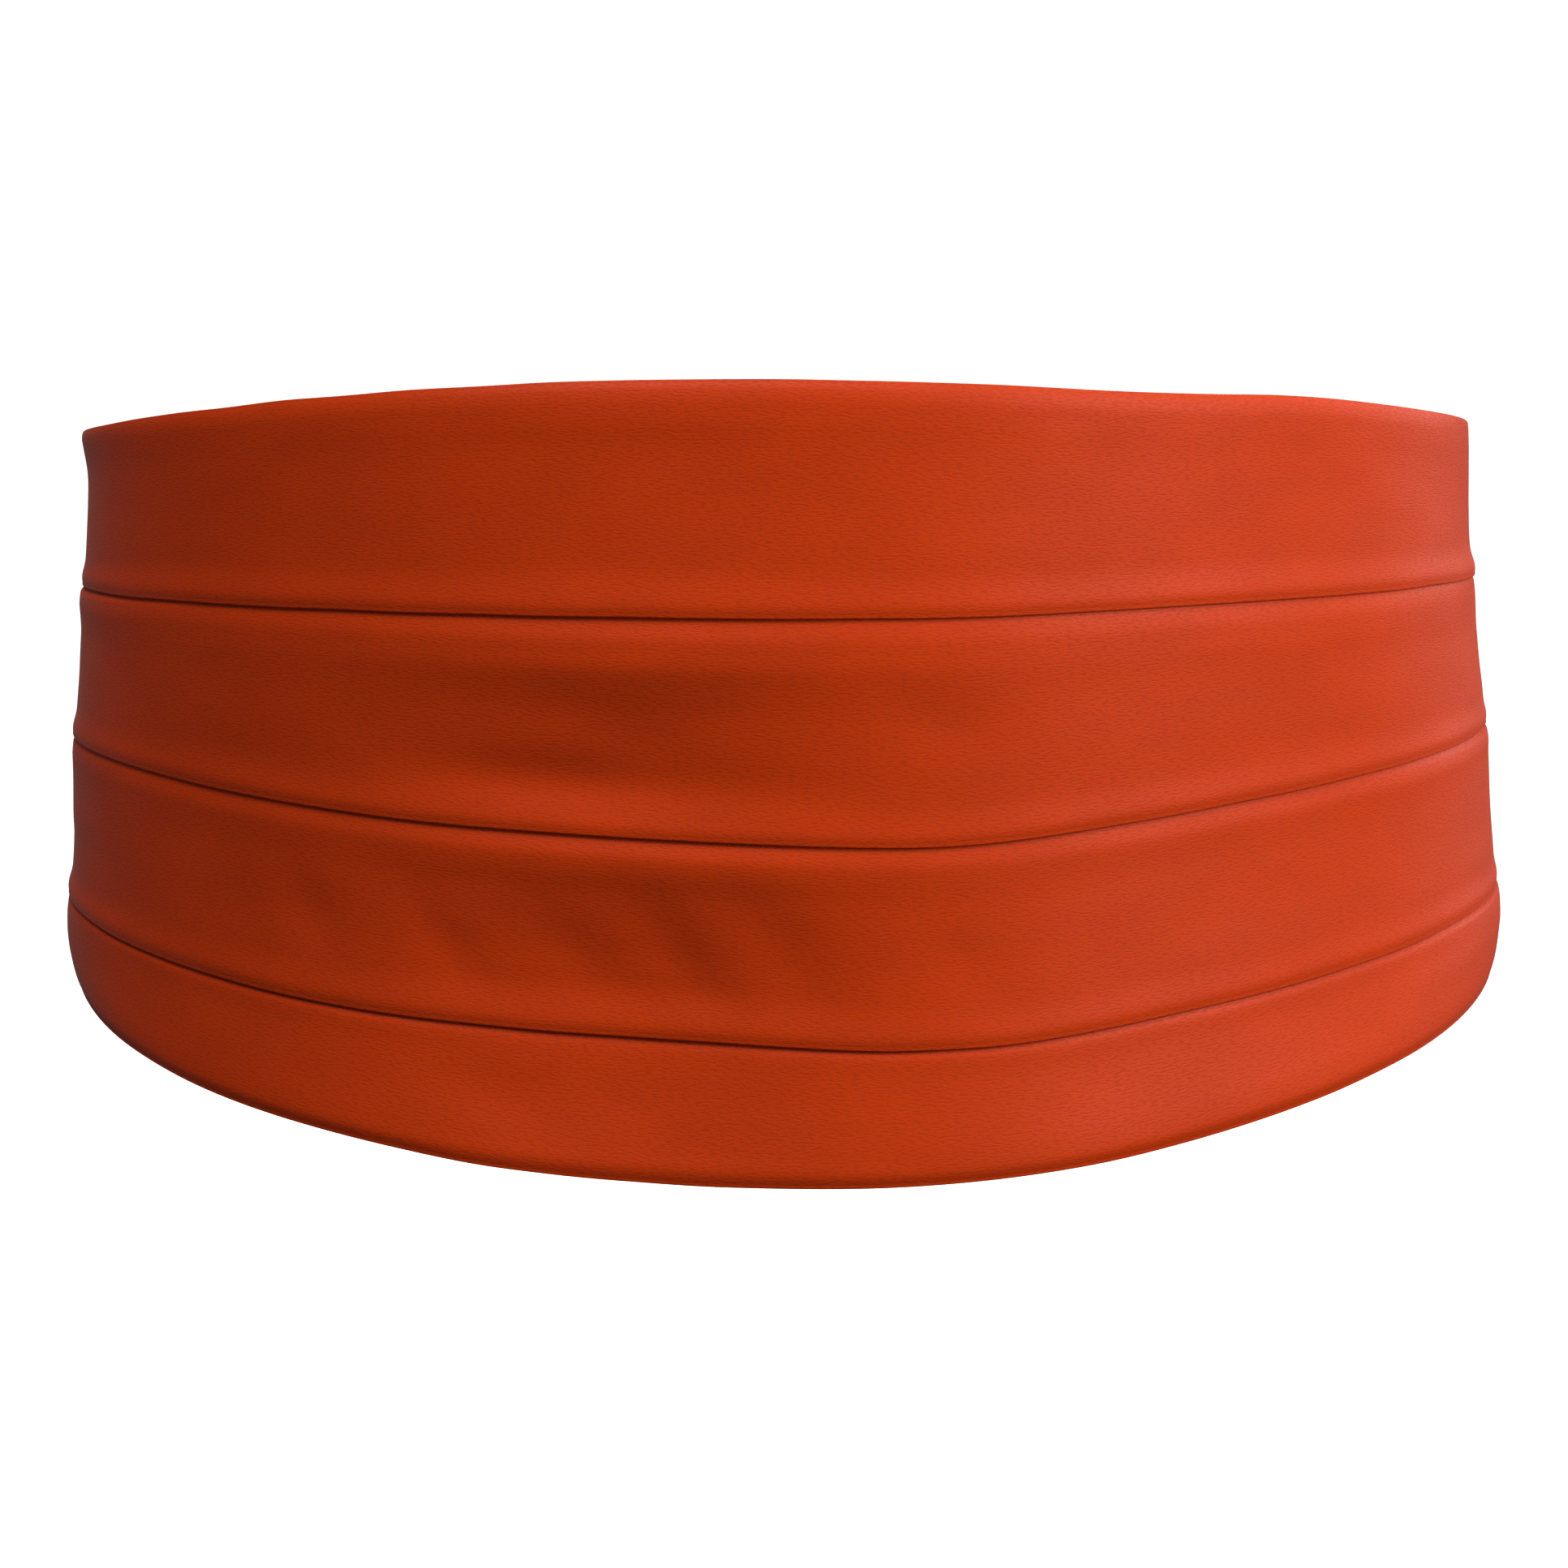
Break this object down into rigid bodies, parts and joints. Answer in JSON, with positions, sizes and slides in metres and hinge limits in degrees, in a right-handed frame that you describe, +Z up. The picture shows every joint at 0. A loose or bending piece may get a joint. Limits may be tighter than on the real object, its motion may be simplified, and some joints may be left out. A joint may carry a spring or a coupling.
{
  "type": "cummerbund",
  "caption": "Pleated cloth waist sash for evening dress, shown as worn: overlapping downward folds round the front, elastic straps and a plain clasp at the back.",
  "frame": {"origin": "middle of the waist hollow, at mid-height of the front", "axes": "+Z up, the pleated front faces -Y, +X towards the wearer's left"},
  "size_m": [0.2788, 0.2122, 0.1457],
  "materials": {
    "satin": "burnt-orange crepe satin with a soft sheen and a fine horizontal slub",
    "elastic": "ribbed woven elastic, matt, dyed to match",
    "steel": "plain brushed plate"
  },
  "bodies": {
    "root": {"pleated_front": "satin", "strap_left": "elastic", "strap_right": "elastic", "clasp": "steel"}
  },
  "joints": []
}
